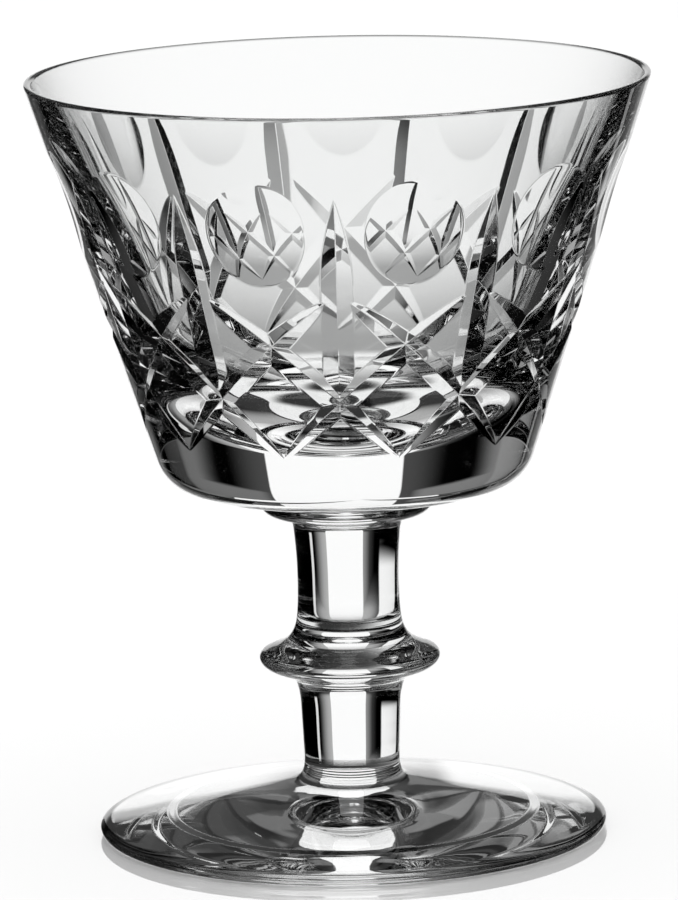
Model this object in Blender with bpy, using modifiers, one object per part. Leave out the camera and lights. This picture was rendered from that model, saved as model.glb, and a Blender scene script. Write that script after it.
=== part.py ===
"""Cut-crystal sherbet glass: a flared bowl on a knopped stem and a low-domed foot.

Every piece is turned about the glass's axis and stands on the piece below it, with a thin seam where
the hot glass was fused. The bowl's outer wall is then cut with three kinds of wheel marks.
Units are metres, +Z is up, and the foot rests on z = 0.
"""

import math

import bmesh
import bpy
from mathutils import Matrix, Vector

# Names
GLASS_NAME = "sherbet_glass"
CUTTER_NAME = "cutting_wheels"

# Seam between two pieces that were fused hot
SEAM_GAP = 0.0003

# Foot
FOOT_RADIUS = 0.0360
FOOT_HEIGHT = 0.0073
FOOT_SEAM_RADIUS = 0.0090
FOOT_COVE_RUN = 0.0040
FOOT_COVE_DROP = 0.0023
FOOT_SHOULDER_HEIGHT = 0.0021
FOOT_EDGE_ROUND = 0.0014
FOOT_EDGE_HEIGHT = 0.0013
FOOT_REST_INSET = 0.0022
FOOT_REST_WIDTH = 0.0085
FOOT_HOLLOW_DEPTH = 0.0014

# Collar where the stem flows into the foot
FOOT_COLLAR_HEIGHT = 0.0031
FOOT_COLLAR_COVE_HEIGHT = 0.0013

# Lower stem
LOWER_STEM_HEIGHT = 0.0103
LOWER_STEM_FOOT_RADIUS = 0.00677
LOWER_STEM_NECK_RADIUS = 0.00712
LOWER_STEM_FLARE_HEIGHT = 0.0032

# Knop
KNOP_HEIGHT = 0.0082
KNOP_RADIUS = 0.0128
KNOP_GIRTH_HEIGHT = 0.00375
KNOP_BOTTOM_RADIUS = 0.00765
KNOP_TOP_RADIUS = 0.00753
KNOP_SHOULDER_RADIUS = 0.0106
KNOP_SHOULDER_HEIGHT = 0.00515
KNOP_CROWN_HEIGHT = 0.0045
KNOP_HIP_RADIUS = 0.0100
KNOP_HIP_HEIGHT = 0.0015
KNOP_BELLY_HEIGHT = 0.0023
KNOP_TOP_COVE_HEIGHT = 0.0063
KNOP_TOP_COVE_LEAN = 0.0003
KNOP_BOTTOM_COVE_HEIGHT = 0.0009

# Upper stem
UPPER_STEM_HEIGHT = 0.0144
UPPER_STEM_TOP_RADIUS = 0.00775
UPPER_STEM_WAIST_RADIUS = 0.0072

# Collar that the bowl sits on
BOWL_COLLAR_HEIGHT = 0.0036
BOWL_COLLAR_RADIUS = 0.0121
BOWL_COLLAR_EDGE_HEIGHT = 0.0010
BOWL_COLLAR_UNDER_RADIUS = 0.0094
BOWL_COLLAR_UNDER_HEIGHT = 0.00095

# Bowl
BOWL_HEIGHT = 0.0593
BOWL_RIM_RADIUS = 0.0440
BOWL_CORNER_RADIUS = 0.0254
BOWL_CORNER_HEIGHT = 0.0017
BOWL_CORNER_RUN = 0.0042
BOWL_FLOOR_HEIGHT = 0.00985
BOWL_CUP_RADIUS = 0.0310
LIP_THICKNESS = 0.0011

# Cutting, with heights above the bowl's seat
REPEATS = 11
MITRE_ANGLE = math.radians(133.0)
MITRE_CLEARANCE = 0.0012
MITRE_ENTRY = 0.0001
VERTICAL_TIP_HEIGHT = 0.04775
VERTICAL_FOOT_GAP = 0.0005
VERTICAL_DEPTH = 0.00096
VERTICAL_TIP_RUN = 0.0120
VERTICAL_FOOT_RUN = 0.0040
CROSS_HEIGHT = 0.02605
DIAMOND_TIP_HEIGHT = 0.00985
RIGHT_DIAGONAL_DEPTH = 0.00082
LEFT_DIAGONAL_DEPTH = 0.00087
DIAGONAL_START_OFFSET = 0.0016
DIAGONAL_FULLEST = 0.4
DIAGONAL_BLUNTNESS = 0.7
PRINT_HEIGHT = 0.0426
PRINT_DEPTH = 0.00085
PRINT_WHEEL_RADIUS = 0.0350
PRINT_WHEEL_CROWN = 0.0880
PRINT_WHEEL_WIDTH = 0.0180

# Facets
BOWL_STEPS_PER_REPEAT = 6
STEM_STEPS = 36
FOOT_STEPS = 54
WHEEL_STEPS = 80
BEND_PIECES = 4
LIP_PIECES = 4
CUP_PIECES = 10
WHEEL_PIECES = 6
VERTICAL_STATIONS = 7
DIAGONAL_STATIONS = 10
MERGE_DISTANCE = 0.00001
SHARP_ANGLE = math.radians(32.0)

# Crystal
CRYSTAL_COLOUR = (0.96, 0.97, 0.97, 1.0)
CRYSTAL_ROUGHNESS = 0.02
CRYSTAL_IOR = 1.54

# Stacking, from the table up
FOOT_COLLAR_BASE = FOOT_HEIGHT + SEAM_GAP
LOWER_STEM_BASE = FOOT_COLLAR_BASE + FOOT_COLLAR_HEIGHT + SEAM_GAP
KNOP_BASE = LOWER_STEM_BASE + LOWER_STEM_HEIGHT + SEAM_GAP
UPPER_STEM_BASE = KNOP_BASE + KNOP_HEIGHT + SEAM_GAP
BOWL_COLLAR_BASE = UPPER_STEM_BASE + UPPER_STEM_HEIGHT + SEAM_GAP
BOWL_BASE = BOWL_COLLAR_BASE + BOWL_COLLAR_HEIGHT + SEAM_GAP

PITCH = 2.0 * math.pi / REPEATS
WALL_SLOPE = (BOWL_RIM_RADIUS - BOWL_CORNER_RADIUS) / (BOWL_HEIGHT - BOWL_CORNER_HEIGHT)


def clear_scene():
    for item in list(bpy.data.objects):
        bpy.data.objects.remove(item, do_unlink=True)


def new_collection(name):
    collection = bpy.data.collections.new(name)
    bpy.context.scene.collection.children.link(collection)
    return collection


def bend(start, knee, end, pieces=BEND_PIECES):
    """Points after start on the curve that leaves start towards knee and reaches end from knee."""
    points = []
    for index in range(1, pieces + 1):
        t = index / pieces
        weights = ((1.0 - t) ** 2, 2.0 * t * (1.0 - t), t * t)
        radius = sum(w * point[0] for w, point in zip(weights, (start, knee, end)))
        height = sum(w * point[1] for w, point in zip(weights, (start, knee, end)))
        points.append((radius, height))
    return points


def through(first, middle, last):
    """The knee value that makes a bend from first to last pass through middle halfway."""
    return 2.0 * middle - (first + last) / 2.0


def foot_outline():
    shoulder = (FOOT_RADIUS - FOOT_EDGE_ROUND, FOOT_SHOULDER_HEIGHT)
    edge = (FOOT_RADIUS, FOOT_EDGE_HEIGHT)
    rest_outer = (FOOT_RADIUS - FOOT_REST_INSET, 0.0)
    rest_inner = (rest_outer[0] - FOOT_REST_WIDTH, 0.0)
    seam = (FOOT_SEAM_RADIUS, FOOT_HEIGHT)
    cove = (FOOT_SEAM_RADIUS + FOOT_COVE_RUN, FOOT_HEIGHT - FOOT_COVE_DROP)
    outline = [(0.0, FOOT_HEIGHT), seam]
    outline += bend(seam, cove, shoulder, 2 * BEND_PIECES)
    outline += bend(shoulder, (FOOT_RADIUS, FOOT_SHOULDER_HEIGHT), edge)
    outline += bend(edge, (FOOT_RADIUS, 0.0), rest_outer)
    outline += [rest_inner]
    outline += bend(rest_inner, (rest_inner[0] / 2.0, FOOT_HOLLOW_DEPTH), (0.0, FOOT_HOLLOW_DEPTH))
    return outline


def foot_collar_outline():
    top = (LOWER_STEM_FOOT_RADIUS, FOOT_COLLAR_HEIGHT)
    cove = (LOWER_STEM_FOOT_RADIUS, FOOT_COLLAR_COVE_HEIGHT)
    bottom = (FOOT_SEAM_RADIUS, 0.0)
    return [(0.0, FOOT_COLLAR_HEIGHT), top] + bend(top, cove, bottom) + [(0.0, 0.0)]


def lower_stem_outline():
    top = (KNOP_BOTTOM_RADIUS, LOWER_STEM_HEIGHT)
    neck = (LOWER_STEM_NECK_RADIUS, LOWER_STEM_HEIGHT - LOWER_STEM_FLARE_HEIGHT)
    flare = (LOWER_STEM_NECK_RADIUS, LOWER_STEM_HEIGHT - LOWER_STEM_FLARE_HEIGHT / 2.0)
    bottom = (LOWER_STEM_FOOT_RADIUS, 0.0)
    return [(0.0, LOWER_STEM_HEIGHT), top] + bend(top, flare, neck) + [bottom, (0.0, 0.0)]


def knop_outline():
    top = (KNOP_TOP_RADIUS, KNOP_HEIGHT)
    shoulder = (KNOP_SHOULDER_RADIUS, KNOP_SHOULDER_HEIGHT)
    girth = (KNOP_RADIUS, KNOP_GIRTH_HEIGHT)
    hip = (KNOP_HIP_RADIUS, KNOP_HIP_HEIGHT)
    bottom = (KNOP_BOTTOM_RADIUS, 0.0)
    outline = [(0.0, KNOP_HEIGHT), top]
    outline += bend(top, (KNOP_TOP_RADIUS + KNOP_TOP_COVE_LEAN, KNOP_TOP_COVE_HEIGHT), shoulder)
    outline += bend(shoulder, (KNOP_RADIUS, KNOP_CROWN_HEIGHT), girth)
    outline += bend(girth, (KNOP_RADIUS, KNOP_BELLY_HEIGHT), hip)
    outline += bend(hip, (KNOP_BOTTOM_RADIUS, KNOP_BOTTOM_COVE_HEIGHT), bottom)
    return outline + [(0.0, 0.0)]


def upper_stem_outline():
    top = (UPPER_STEM_TOP_RADIUS, UPPER_STEM_HEIGHT)
    bottom = (KNOP_TOP_RADIUS, 0.0)
    waist = through(top[0], UPPER_STEM_WAIST_RADIUS, bottom[0])
    curve = bend(top, (waist, UPPER_STEM_HEIGHT / 2.0), bottom, 2 * BEND_PIECES)
    return [(0.0, UPPER_STEM_HEIGHT), top] + curve + [(0.0, 0.0)]


def bowl_collar_outline():
    top = (BOWL_COLLAR_RADIUS, BOWL_COLLAR_HEIGHT)
    edge = (BOWL_COLLAR_RADIUS, BOWL_COLLAR_HEIGHT - BOWL_COLLAR_EDGE_HEIGHT)
    under = (BOWL_COLLAR_UNDER_RADIUS, BOWL_COLLAR_UNDER_HEIGHT)
    bottom = (UPPER_STEM_TOP_RADIUS, 0.0)
    outline = [(0.0, BOWL_COLLAR_HEIGHT), top, edge]
    outline += bend(edge, (BOWL_COLLAR_RADIUS, BOWL_COLLAR_UNDER_HEIGHT), under)
    outline += bend(under, (UPPER_STEM_TOP_RADIUS, BOWL_COLLAR_UNDER_HEIGHT), bottom)
    return outline + [(0.0, 0.0)]


def wall_radius(height):
    """Radius of the bowl's uncut outer wall, a straight cone."""
    return BOWL_CORNER_RADIUS + WALL_SLOPE * (height - BOWL_CORNER_HEIGHT)


def lip_outline():
    """The fire-polished lip, a half round from the inside over the top to the outside."""
    half = LIP_THICKNESS / 2.0
    centre_height = BOWL_HEIGHT - half
    centre_radius = wall_radius(centre_height) - half
    points = []
    for index in range(LIP_PIECES + 1):
        angle = math.pi * (1.0 - index / LIP_PIECES)
        points.append((centre_radius + half * math.cos(angle), centre_height + half * math.sin(angle)))
    return points


def cup_outline(lip):
    """The round bottom inside the bowl, from its middle out to where the straight inner wall leaves for lip."""
    rise = lip[1] - BOWL_FLOOR_HEIGHT - BOWL_CUP_RADIUS
    steepness = math.atan2(rise, lip[0]) + math.asin(BOWL_CUP_RADIUS / math.hypot(lip[0], rise))
    points = []
    for index in range(CUP_PIECES + 1):
        angle = steepness * index / CUP_PIECES
        height = BOWL_FLOOR_HEIGHT + BOWL_CUP_RADIUS * (1.0 - math.cos(angle))
        points.append((BOWL_CUP_RADIUS * math.sin(angle), height))
    return points


def bowl_outline():
    lip = lip_outline()
    outline = cup_outline(lip[0]) + lip
    seat = (BOWL_COLLAR_RADIUS, 0.0)
    corner = Vector((BOWL_CORNER_RADIUS, BOWL_CORNER_HEIGHT))
    up_wall = Vector((WALL_SLOPE, 1.0)).normalized()
    under = (Vector(seat) - corner).normalized()
    corner_top = tuple(corner + up_wall * BOWL_CORNER_RUN)
    corner_end = tuple(corner + under * BOWL_CORNER_RUN)
    outline += [corner_top]
    outline += bend(corner_top, tuple(corner), corner_end)
    return outline + [seat, (0.0, 0.0)]


def turned(name, outline, steps, collection):
    """One object whose outline, drawn at +X from the top down its outer side, turns about Z."""
    mesh = bpy.data.meshes.new(name)
    edges = [(index, index + 1) for index in range(len(outline) - 1)]
    mesh.from_pydata([(radius, 0.0, height) for radius, height in outline], edges, [])
    piece = bpy.data.objects.new(name, mesh)
    collection.objects.link(piece)
    screw = piece.modifiers.new("turning", "SCREW")
    screw.axis = "Z"
    screw.angle = 2.0 * math.pi
    screw.steps = steps
    screw.render_steps = steps
    screw.use_merge_vertices = True
    screw.merge_threshold = MERGE_DISTANCE
    return piece


def settle(piece):
    """Replaces an object's mesh by its evaluated shape, shaded smooth between its sharp edges."""
    bpy.context.view_layer.update()
    graph = bpy.context.evaluated_depsgraph_get()
    mesh = bpy.data.meshes.new_from_object(piece.evaluated_get(graph))
    piece.modifiers.clear()
    piece.data = mesh
    mesh.name = piece.name
    mesh.shade_smooth()
    mesh.set_sharp_from_angle(angle=SHARP_ANGLE)


def crystal(piece):
    """Clear lead crystal, one material for each piece."""
    material = bpy.data.materials.new(piece.name + "_crystal")
    material.use_nodes = True
    shader = material.node_tree.nodes["Principled BSDF"]
    shader.inputs["Base Color"].default_value = CRYSTAL_COLOUR
    shader.inputs["Roughness"].default_value = CRYSTAL_ROUGHNESS
    shader.inputs["Metallic"].default_value = 0.0
    shader.inputs["IOR"].default_value = CRYSTAL_IOR
    shader.inputs["Transmission Weight"].default_value = 1.0
    piece.data.materials.clear()
    piece.data.materials.append(material)


def wall_point(angle, height):
    """A point on the uncut wall; angle 0 faces -Y and grows towards +X."""
    radius = wall_radius(height)
    return Vector((radius * math.sin(angle), -radius * math.cos(angle), height))


def wall_normal(angle):
    return Vector((math.sin(angle), -math.cos(angle), -WALL_SLOPE)).normalized()


def add_mitre(shape, path, depths):
    """Lofts a V-edged cutter along path, a list of (angle, height) on the wall, to the given depths."""
    spread = math.tan(MITRE_ANGLE / 2.0)
    points = [wall_point(angle, height) for angle, height in path]
    rings = []
    for index, (angle, _) in enumerate(path):
        before = points[max(index - 1, 0)]
        after = points[min(index + 1, len(points) - 1)]
        out = wall_normal(angle)
        side = (after - before).cross(out).normalized()
        half_width = (depths[index] + MITRE_CLEARANCE) * spread
        top = points[index] + out * MITRE_CLEARANCE
        corners = (top + side * half_width, points[index] - out * depths[index], top - side * half_width)
        rings.append([shape.verts.new(corner) for corner in corners])
    for ring, following in zip(rings, rings[1:]):
        for index in range(len(ring)):
            other = (index + 1) % len(ring)
            shape.faces.new((ring[index], ring[other], following[other], following[index]))
    shape.faces.new(rings[0])
    shape.faces.new(rings[-1])


def cutter_object(name, shape, collection):
    bmesh.ops.recalc_face_normals(shape, faces=shape.faces)
    mesh = bpy.data.meshes.new(name)
    shape.to_mesh(mesh)
    shape.free()
    cutter = bpy.data.objects.new(name, mesh)
    collection.objects.link(cutter)
    return cutter


def vertical_mitres(collection):
    """One upright cut in each repeat, pointed at the top and ending above the crossing below it."""
    foot_height = (CROSS_HEIGHT + DIAMOND_TIP_HEIGHT) / 2.0 + VERTICAL_FOOT_GAP
    heights = []
    depths = []
    for index in range(VERTICAL_STATIONS):
        share = index / (VERTICAL_STATIONS - 1)
        height = VERTICAL_TIP_HEIGHT + (foot_height - VERTICAL_TIP_HEIGHT) * share
        tip_share = min(1.0, (VERTICAL_TIP_HEIGHT - height) / VERTICAL_TIP_RUN)
        foot_share = min(1.0, (height - foot_height) / VERTICAL_FOOT_RUN)
        swell = math.sin(math.pi / 2.0 * tip_share) * math.sin(math.pi / 2.0 * foot_share)
        heights.append(height)
        depths.append(VERTICAL_DEPTH * swell - MITRE_ENTRY)
    shape = bmesh.new()
    for repeat in range(REPEATS):
        add_mitre(shape, [(repeat * PITCH, height) for height in heights], depths)
    return cutter_object("vertical_mitre_wheel", shape, collection)


def diagonal_mitres(name, hand, depth, collection):
    """Long slanting cuts, from beside one vertical, under the next one, to the tip of a diamond."""
    fall = CROSS_HEIGHT - DIAMOND_TIP_HEIGHT
    start = DIAGONAL_START_OFFSET / wall_radius(CROSS_HEIGHT + fall / 2.0)
    finish = 1.5 * PITCH
    easing = math.log(0.5) / math.log(DIAGONAL_FULLEST)
    turns = []
    heights = []
    depths = []
    for index in range(DIAGONAL_STATIONS):
        share = index / (DIAGONAL_STATIONS - 1)
        turn = start + (finish - start) * share
        turns.append(turn)
        heights.append(CROSS_HEIGHT - fall * (turn / PITCH - 0.5))
        swell = math.sin(math.pi * share**easing) ** DIAGONAL_BLUNTNESS
        depths.append(depth * swell - MITRE_ENTRY)
    shape = bmesh.new()
    for repeat in range(REPEATS):
        path = [(repeat * PITCH + hand * turn, height) for turn, height in zip(turns, heights)]
        add_mitre(shape, path, depths)
    return cutter_object(name, shape, collection)


def thumbprints(collection):
    """A crowned wheel dips into the wall midway between two verticals, and leaves a shallow oval."""
    outline = [(0.0, PRINT_WHEEL_WIDTH / 2.0)]
    for index in range(WHEEL_PIECES + 1):
        across = PRINT_WHEEL_WIDTH * (0.5 - index / WHEEL_PIECES)
        fall = PRINT_WHEEL_CROWN - math.sqrt(PRINT_WHEEL_CROWN**2 - across**2)
        outline.append((PRINT_WHEEL_RADIUS - fall, across))
    outline.append((0.0, -PRINT_WHEEL_WIDTH / 2.0))
    wheel = turned("thumbprint_wheel", outline, WHEEL_STEPS, collection)
    settle(wheel)
    shape = bmesh.new()
    for repeat in range(REPEATS):
        angle = (repeat + 0.5) * PITCH
        along = Vector((math.cos(angle), math.sin(angle), 0.0))
        out = wall_normal(angle)
        centre = wall_point(angle, PRINT_HEIGHT) + out * (PRINT_WHEEL_RADIUS - PRINT_DEPTH)
        axes = Matrix((out, along.cross(out), along)).transposed().to_4x4()
        before = len(shape.verts)
        shape.from_mesh(wheel.data)
        shape.verts.ensure_lookup_table()
        bmesh.ops.transform(shape, matrix=Matrix.Translation(centre) @ axes, verts=shape.verts[before:])
    bpy.data.objects.remove(wheel, do_unlink=True)
    return cutter_object("thumbprint_wheels", shape, collection)


def cut_bowl(bowl, collection):
    cutters = [
        thumbprints(collection),
        vertical_mitres(collection),
        diagonal_mitres("right_mitre_wheel", 1.0, RIGHT_DIAGONAL_DEPTH, collection),
        diagonal_mitres("left_mitre_wheel", -1.0, LEFT_DIAGONAL_DEPTH, collection),
    ]
    for cutter in cutters:
        cutter.parent = bowl
        cutter.hide_render = True
        cutter.display_type = "WIRE"
        cut = bowl.modifiers.new(cutter.name, "BOOLEAN")
        cut.operation = "DIFFERENCE"
        cut.solver = "EXACT"
        cut.object = cutter


def main():
    clear_scene()
    parts = new_collection(GLASS_NAME)
    cutters = new_collection(CUTTER_NAME)
    base_point = bpy.data.objects.new(GLASS_NAME + "_base_point", None)
    parts.objects.link(base_point)
    pieces = (
        ("foot", foot_outline(), FOOT_STEPS, 0.0),
        ("foot_collar", foot_collar_outline(), STEM_STEPS, FOOT_COLLAR_BASE),
        ("lower_stem", lower_stem_outline(), STEM_STEPS, LOWER_STEM_BASE),
        ("knop_ring", knop_outline(), STEM_STEPS, KNOP_BASE),
        ("upper_stem", upper_stem_outline(), STEM_STEPS, UPPER_STEM_BASE),
        ("bowl_collar", bowl_collar_outline(), STEM_STEPS, BOWL_COLLAR_BASE),
        ("bowl", bowl_outline(), BOWL_STEPS_PER_REPEAT * REPEATS, BOWL_BASE),
    )
    for name, outline, steps, height in pieces:
        piece = turned(name, outline, steps, parts)
        piece.parent = base_point
        piece.location.z = height
        if name == "bowl":
            cut_bowl(piece, cutters)
        settle(piece)
        crystal(piece)


main()
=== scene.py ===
# %% [markdown]
# # A cut-crystal sherbet glass
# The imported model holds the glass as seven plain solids. This file gives each of them its finished
# surface: a fire-polished stem and foot, and a bowl whose wall is cut with crossed mitres and
# thumbprints. Everything is in metres, in the same frame as the solids, so nothing is fitted later.

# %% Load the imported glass
import math

import bpy
import numpy as np
from mathutils import Matrix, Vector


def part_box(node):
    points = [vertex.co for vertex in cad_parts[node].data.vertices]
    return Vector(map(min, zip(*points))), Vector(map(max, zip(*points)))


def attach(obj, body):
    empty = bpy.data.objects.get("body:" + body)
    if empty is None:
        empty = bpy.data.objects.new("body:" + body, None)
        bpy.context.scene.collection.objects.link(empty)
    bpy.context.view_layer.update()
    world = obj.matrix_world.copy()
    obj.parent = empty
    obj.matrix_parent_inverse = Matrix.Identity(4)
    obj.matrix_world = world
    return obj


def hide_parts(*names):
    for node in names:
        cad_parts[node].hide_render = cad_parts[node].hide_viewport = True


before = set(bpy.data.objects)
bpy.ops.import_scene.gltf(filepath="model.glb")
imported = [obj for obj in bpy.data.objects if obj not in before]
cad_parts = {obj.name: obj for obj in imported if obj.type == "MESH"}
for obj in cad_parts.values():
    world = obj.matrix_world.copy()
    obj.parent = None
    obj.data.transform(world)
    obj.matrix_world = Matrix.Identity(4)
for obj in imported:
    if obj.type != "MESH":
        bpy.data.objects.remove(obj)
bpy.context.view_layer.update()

# %% [markdown]
# ## Driving sizes
# A turned glass is one line drawn beside its axis. The solids fix where that line starts and ends,
# so the heights and the widest radii are read from their boxes. Neighbouring solids leave a thin gap
# between them. The finished pieces meet in the middle of it, because real glass is fused there.


# %% Sizes read from the solids
def seam_between(lower, upper):
    """Height halfway between the top of one solid and the bottom of the next."""
    return (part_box(lower)[1].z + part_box(upper)[0].z) / 2.0


STACK = ("foot", "foot_collar", "lower_stem", "knop_ring", "upper_stem", "bowl_collar", "bowl")
SEAMS = [seam_between(lower, upper) for lower, upper in zip(STACK, STACK[1:])]
BOWL_SEAT = SEAMS[-1]
RIM_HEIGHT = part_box("bowl")[1].z
FOOT_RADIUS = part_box("foot")[1].x
print("seams at", [round(height, 5) for height in SEAMS])

# %% [markdown]
# ## A line that bends smoothly
# Hot glass has no sharp changes of direction, so a line through a few chosen points has to be smooth.
# A Catmull-Rom curve passes through every point and needs no handles. It is sampled closely, and its
# tangents give the exact normal of the turned surface, which a lens needs more than it needs faces.


# %% Smooth lines and their normals
def smooth_line(points, step):
    """Points along a Catmull-Rom curve through the given (radius, height) points, about step apart."""
    knots = np.array(points, float)
    padded = np.vstack([2.0 * knots[0] - knots[1], knots, 2.0 * knots[-1] - knots[-2]])
    line = [knots[0]]
    for before, start, end, after in zip(padded, padded[1:], padded[2:], padded[3:]):
        gaps = [np.sqrt(np.linalg.norm(b - a)) for a, b in ((before, start), (start, end), (end, after))]
        leave = (start - before) / gaps[0] - (end - before) / (gaps[0] + gaps[1]) + (end - start) / gaps[1]
        arrive = (end - start) / gaps[1] - (after - start) / (gaps[1] + gaps[2]) + (after - end) / gaps[2]
        pieces = max(2, math.ceil(np.linalg.norm(end - start) / step))
        for t in np.arange(1, pieces + 1) / pieces:
            ease = np.array([2 * t**3 - 3 * t**2 + 1, t**3 - 2 * t**2 + t, 3 * t**2 - 2 * t**3, t**3 - t**2])
            line.append(ease @ np.array([start, leave * gaps[1], end, arrive * gaps[1]]))
    return np.array(line)


def bend(start, knee, end, pieces):
    """Points after start on the curve that leaves start towards knee and reaches end from knee."""
    t = np.arange(1, pieces + 1)[:, None] / pieces
    return (1 - t) ** 2 * np.array(start) + 2 * t * (1 - t) * np.array(knee) + t**2 * np.array(end)


def line_normals(line):
    """Outward normals of a line that runs down the outer side of a turned piece."""
    along = np.gradient(line, axis=0)
    normals = np.stack([-along[:, 1], along[:, 0]], axis=1)
    return normals / np.linalg.norm(normals, axis=1)[:, None]


print("a bend of 4:", bend((0, 1), (1, 1), (1, 0), 4).round(2).tolist())

# %% [markdown]
# ## Skins made of triangles
# Every piece here is a skin: triangles with a position, a normal and a finish at each corner. Turning a
# line about the axis gives such a skin at once. A Screw modifier would turn the line too, but it would
# not keep the exact normals, and faceted normals show as bands in glass.


# %% Turn a line into a skin
POLISHED, CUT, SEAM = range(3)


def around(turns, radii, heights):
    """Points at the given turns, which start at -Y and grow towards +X."""
    return np.stack([radii * np.sin(turns), -radii * np.cos(turns), heights + 0.0 * turns], axis=-1)


def revolve(line, normals, turns, finish):
    """The skin of a line turned through the given angles."""
    spots = around(turns[:, None], line[:, 0], line[:, 1])
    faces_out = around(turns[:, None], normals[:, 0], normals[:, 1])
    skin = []
    for grid in (spots, faces_out):
        near, far = grid[:-1], grid[1:]
        upper = np.stack([near[:, :-1], near[:, 1:], far[:, 1:]], axis=2)
        lower = np.stack([near[:, :-1], far[:, 1:], far[:, :-1]], axis=2)
        skin.append(np.concatenate([upper.reshape(-1, 3, 3), lower.reshape(-1, 3, 3)]))
    return skin[0], skin[1], np.full(len(skin[0]), finish)


def flat_disc(radius, height, up, turns):
    """The flat end of a piece where it is fused to its neighbour."""
    line = np.array([(0.0, height), (radius, height)] if up else [(radius, height), (0.0, height)])
    normals = np.array([(0.0, 1.0 if up else -1.0)] * 2)
    return revolve(line, normals, turns, SEAM)


print("a point at a quarter turn:", around(np.array(math.pi / 2.0), 1.0, 0.0).round(3).tolist())

# %% Join skins into one mesh
WELD = 1e-7


def weld(corners):
    """Shared points and triangles of a skin, without the triangles that shrank to a line at the axis."""
    points, first, index = np.unique(
        np.round(corners.reshape(-1, 3) / WELD), axis=0, return_index=True, return_inverse=True
    )
    triangles = index.reshape(-1, 3)
    whole = (triangles != np.roll(triangles, 1, axis=1)).all(axis=1)
    return corners.reshape(-1, 3)[first], triangles[whole], whole


def skin_mesh(name, skins):
    """One welded mesh of several skins. Its corner normals wait in the attribute polish_normal."""
    corners, normals, finishes = (np.concatenate(part) for part in zip(*skins))
    points, triangles, whole = weld(corners)
    mesh = bpy.data.meshes.new(name)
    mesh.from_pydata(points.tolist(), [], triangles.tolist())
    mesh.attributes.new("finish", "INT", "FACE").data.foreach_set("value", finishes[whole].astype(np.int32))
    stored = mesh.attributes.new("polish_normal", "FLOAT_VECTOR", "CORNER")
    stored.data.foreach_set("vector", normals[whole].astype(np.float32).ravel())
    return mesh


def use_polish_normals(mesh, turned_by=None):
    """Makes the stored normals the mesh's own, each face's normals turned about the axis as asked."""
    stored = np.empty(len(mesh.loops) * 3, np.float32)
    mesh.attributes["polish_normal"].data.foreach_get("vector", stored)
    normals = stored.reshape(-1, 3, 3).astype(float)
    if turned_by is not None:
        cosine, sine = np.cos(turned_by)[:, None], np.sin(turned_by)[:, None]
        across, along = normals[..., 0].copy(), normals[..., 1].copy()
        normals[..., 0] = cosine * across - sine * along
        normals[..., 1] = sine * across + cosine * along
    mesh.attributes.remove(mesh.attributes["polish_normal"])
    mesh.shade_smooth()
    mesh.normals_split_custom_set(normals.reshape(-1, 3).tolist())


def open_edges(mesh):
    """Number of edges that do not join exactly two faces: 0 on a closed skin."""
    edges = np.empty(len(mesh.loops), np.int32)
    mesh.loops.foreach_get("edge_index", edges)
    return int((np.bincount(edges, minlength=len(mesh.edges)) != 2).sum())


print("finishes:", {"polished": POLISHED, "cut": CUT, "seam": SEAM})

# %% [markdown]
# ## Hand-worked glass
# Hot glass that was turned and pressed by hand keeps a faint ripple, and polishing leaves the surface
# a little softer in places. Both are the same effect at different strengths on bowl, cuts and foot, so
# they are one node group with two outputs: a height for a Bump node and a mask for the roughness.


# %% The shared surface of worked glass
def node_group(name, inputs, outputs):
    group = bpy.data.node_groups.new(name, "ShaderNodeTree")
    for label, value in inputs:
        socket = group.interface.new_socket(label, in_out="INPUT", socket_type="NodeSocketFloat")
        socket.default_value = value
    for label in outputs:
        group.interface.new_socket(label, in_out="OUTPUT", socket_type="NodeSocketFloat")
    return group, group.nodes.new("NodeGroupInput"), group.nodes.new("NodeGroupOutput")


def worked_glass():
    """Ripple is the height of the slow waves, Haze a mask of where the polish is a little softer."""
    inputs = (("Wave size", 0.012), ("Stretch", 1.0), ("Mark size", 0.0015))
    group, given, result = node_group("worked_glass", inputs, ("Ripple", "Haze"))
    nodes, link = group.nodes, group.links.new
    place = nodes.new("ShaderNodeTexCoord").outputs["Object"]
    flatten = nodes.new("ShaderNodeCombineXYZ")
    flatten.inputs["X"].default_value = 1.0
    flatten.inputs["Y"].default_value = 1.0
    link(given.outputs["Stretch"], flatten.inputs["Z"])
    stretched = nodes.new("ShaderNodeVectorMath")
    stretched.operation = "MULTIPLY"
    link(place, stretched.inputs[0])
    link(flatten.outputs[0], stretched.inputs[1])
    for label, size, detail in (("Ripple", "Wave size", 1.0), ("Haze", "Mark size", 3.0)):
        density = nodes.new("ShaderNodeMath")
        density.operation = "DIVIDE"
        density.inputs[0].default_value = 1.0
        link(given.outputs[size], density.inputs[1])
        noise = nodes.new("ShaderNodeTexNoise")
        noise.inputs["Detail"].default_value = detail
        link(stretched.outputs[0], noise.inputs["Vector"])
        link(density.outputs[0], noise.inputs["Scale"])
        link(noise.outputs["Fac"], result.inputs[label])
    return group


WORKED_GLASS = worked_glass()
print("group:", WORKED_GLASS.name, [item.name for item in WORKED_GLASS.interface.items_tree])

# %% [markdown]
# ## Crystal
# Lead crystal bends light more than window glass, so its IOR is 1.54, and it has almost no colour. The
# same recipe makes each finish, with its own ripple. Even a good polish keeps a trace of roughness. A
# shadow ray cannot bend, so a Light Path node lets most of it straight through; without that the glass
# would throw a black shadow.

# %% Crystal finishes
CRYSTAL_COLOUR = (0.985, 0.99, 0.988, 1.0)
CRYSTAL_IOR = 1.54
SHADOW_CLEAR = 0.86
POLISH = 0.012
HAZE_STARTS = 0.45
HAZE_FULL = 0.75


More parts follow.
